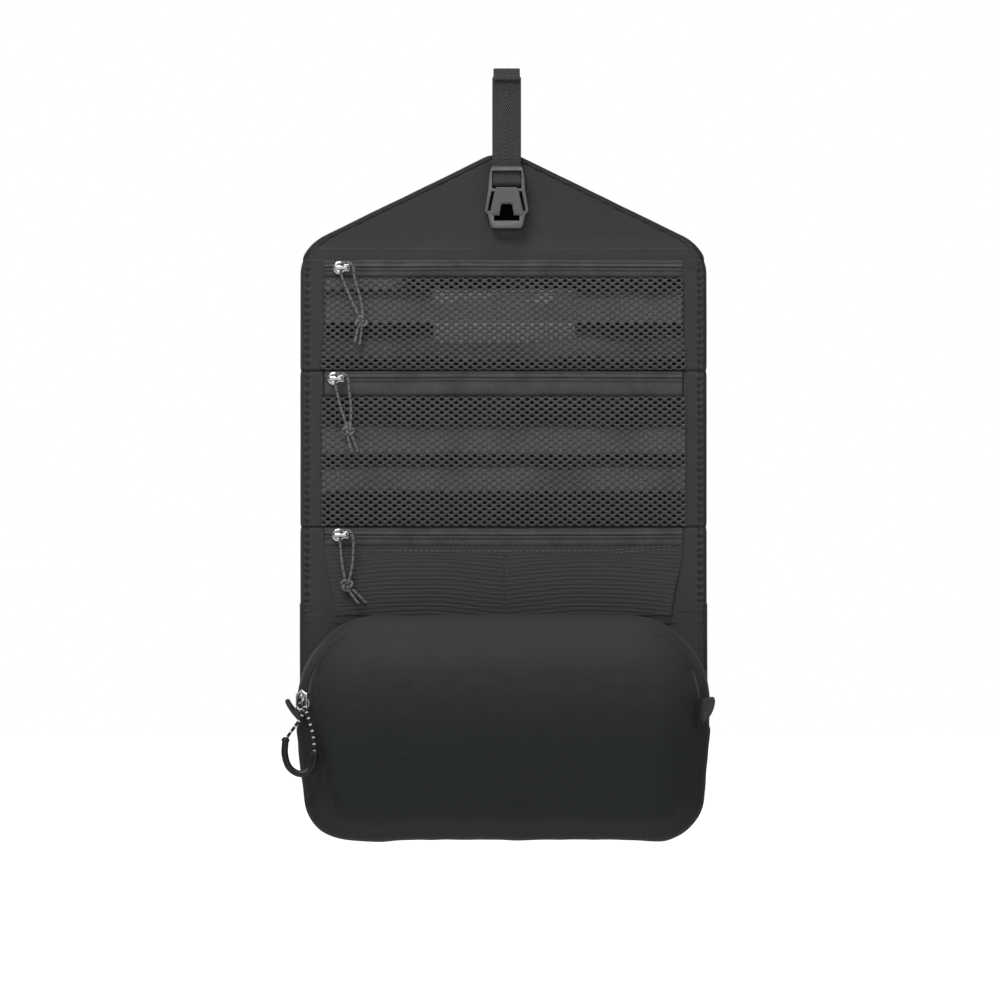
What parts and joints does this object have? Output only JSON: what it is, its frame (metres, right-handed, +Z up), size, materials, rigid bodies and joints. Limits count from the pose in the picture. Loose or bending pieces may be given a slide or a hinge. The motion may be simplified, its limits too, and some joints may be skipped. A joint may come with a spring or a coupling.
{
  "type": "hanging toiletry bag",
  "caption": "Roll-up travel toiletry bag that hangs from a webbing loop, with flat mesh pockets, a ribbed pocket and a zipped pouch",
  "frame": {"origin": "where a hook carries the inside of the webbing loop's top", "axes": "+Z up along the hanging panel, -Y towards the pockets, +X to the right as seen from the pockets' side"},
  "size_m": [0.3032, 0.0642, 0.5383],
  "materials": {
    "shell_fabric": "ripstop weave, matt with a faint sheen",
    "lining_fabric": "plain weave, matt",
    "border_fabric": "plain weave, topstitched",
    "mesh_fabric": "open knitted mesh",
    "ribbed_fabric": "fine ribbed stretch knit",
    "zip_tape": "woven tape",
    "zip_coil": "nylon coil",
    "webbing": "herringbone webbing",
    "buckle_plastic": "satin moulded plastic",
    "slider_metal": "polished",
    "pull_cord_grey": "braided with dark flecks",
    "pull_cord_black": "braided with white flecks",
    "grip_rubber": "moulded, satin",
    "label_cloth": "blank woven label"
  },
  "bodies": {
    "flap": {"flap_shell": "shell_fabric", "flap_lining": "lining_fabric", "strap_loop": "webbing", "strap_tail": "webbing", "strap_root": "webbing"},
    "buckle": {"buckle_socket": "buckle_plastic", "strap_wrap": "webbing"},
    "upper": {"upper_shell": "shell_fabric", "upper_lining": "lining_fabric", "upper_border_left": "border_fabric", "upper_border_right": "border_fabric", "upper_zip_tape_top": "zip_tape", "upper_zip_tape_bottom": "zip_tape", "upper_zip_coil": "zip_coil", "upper_pocket_mesh": "mesh_fabric", "care_label": "label_cloth"},
    "middle": {"middle_shell": "shell_fabric", "middle_lining": "lining_fabric", "middle_border_left": "border_fabric", "middle_border_right": "border_fabric", "middle_zip_tape_top": "zip_tape", "middle_zip_tape_bottom": "zip_tape", "middle_zip_coil": "zip_coil", "middle_pocket_mesh": "mesh_fabric"},
    "lower": {"lower_shell": "shell_fabric", "lower_lining": "lining_fabric", "lower_border_left": "border_fabric", "lower_border_right": "border_fabric", "lower_zip_tape_top": "zip_tape", "lower_zip_tape_bottom": "zip_tape", "lower_zip_coil": "zip_coil", "lower_pocket_ribbed": "ribbed_fabric"},
    "pouch": {"pouch_shell": "shell_fabric", "pouch_lining": "lining_fabric", "pouch_gusset_rear": "shell_fabric", "main_zip_tape_rear": "zip_tape", "main_zip_coil": "zip_coil", "pouch_gusset_lower": "shell_fabric", "pouch_front_lower": "shell_fabric", "grab_tab_left": "shell_fabric", "grab_tab_right": "shell_fabric", "buckle_plug": "buckle_plastic", "plug_strap": "webbing"},
    "hood": {"main_zip_tape_front": "zip_tape", "pouch_gusset_front": "shell_fabric", "pouch_front_upper": "shell_fabric"},
    "upper_slider": {"upper_zip_slider": "slider_metal"},
    "upper_pull": {"upper_pull_cord": "pull_cord_grey", "upper_pull_knot": "pull_cord_grey"},
    "middle_slider": {"middle_zip_slider": "slider_metal"},
    "middle_pull": {"middle_pull_cord": "pull_cord_grey", "middle_pull_knot": "pull_cord_grey"},
    "lower_slider": {"lower_zip_slider": "slider_metal"},
    "lower_pull": {"lower_pull_cord": "pull_cord_grey", "lower_pull_knot": "pull_cord_grey"},
    "main_slider": {"main_zip_slider": "slider_metal"},
    "main_pull": {"main_pull_cord": "pull_cord_black", "main_pull_grip": "grip_rubber"}
  },
  "joints": [
    {"name": "buckle_swing", "type": "hinge", "parent": "flap", "child": "buckle", "pos_m": [0, -0.0054, -0.0525], "axis": [1, 0, 0], "range_deg": [-90, 0]},
    {"name": "upper_fold", "type": "hinge", "parent": "flap", "child": "upper", "pos_m": [0, -0.0012, -0.1211], "axis": [-1, 0, 0], "range_deg": [0, 90]},
    {"name": "middle_fold", "type": "hinge", "parent": "upper", "child": "middle", "pos_m": [0, -0.0032, -0.1995], "axis": [1, 0, 0], "range_deg": [-80, 0]},
    {"name": "lower_fold", "type": "hinge", "parent": "middle", "child": "lower", "pos_m": [0, -0.0032, -0.3087], "axis": [-1, 0, 0], "range_deg": [0, 90]},
    {"name": "pouch_fold", "type": "hinge", "parent": "lower", "child": "pouch", "pos_m": [0, -0.0032, -0.369], "axis": [-1, 0, 0], "range_deg": [0, 80]},
    {"name": "hood_open", "type": "hinge", "parent": "pouch", "child": "hood", "pos_m": [0, -0.0563, -0.4225], "axis": [-1, 0, 0], "range_deg": [-75, 0]},
    {"name": "upper_zip", "type": "slide", "parent": "upper", "child": "upper_slider", "axis": [1, 0, 0], "range_m": [0, 0.228]},
    {"name": "upper_pull_swing", "type": "hinge", "parent": "upper_slider", "child": "upper_pull", "pos_m": [-0.1134, -0.0104, -0.1274], "axis": [1, 0, 0], "range_deg": [-60, 0]},
    {"name": "middle_zip", "type": "slide", "parent": "middle", "child": "middle_slider", "axis": [1, 0, 0], "range_m": [0, 0.228]},
    {"name": "middle_pull_swing", "type": "hinge", "parent": "middle_slider", "child": "middle_pull", "pos_m": [-0.1173, -0.0104, -0.2048], "axis": [1, 0, 0], "range_deg": [-60, 0]},
    {"name": "lower_zip", "type": "slide", "parent": "lower", "child": "lower_slider", "axis": [1, 0, 0], "range_m": [0, 0.228]},
    {"name": "lower_pull_swing", "type": "hinge", "parent": "lower_slider", "child": "lower_pull", "pos_m": [-0.1141, -0.0104, -0.3143], "axis": [1, 0, 0], "range_deg": [-60, 0]},
    {"name": "main_zip", "type": "hinge", "parent": "pouch", "child": "main_slider", "pos_m": [-0.0855, 0, -0.4294], "axis": [0, 1, 0], "range_deg": [0, 75]},
    {"name": "main_pull_swing", "type": "hinge", "parent": "main_slider", "child": "main_pull", "pos_m": [-0.14086, -0.04139, -0.4294], "axis": [1, 0, 0], "range_deg": [-75, 0]}
  ]
}
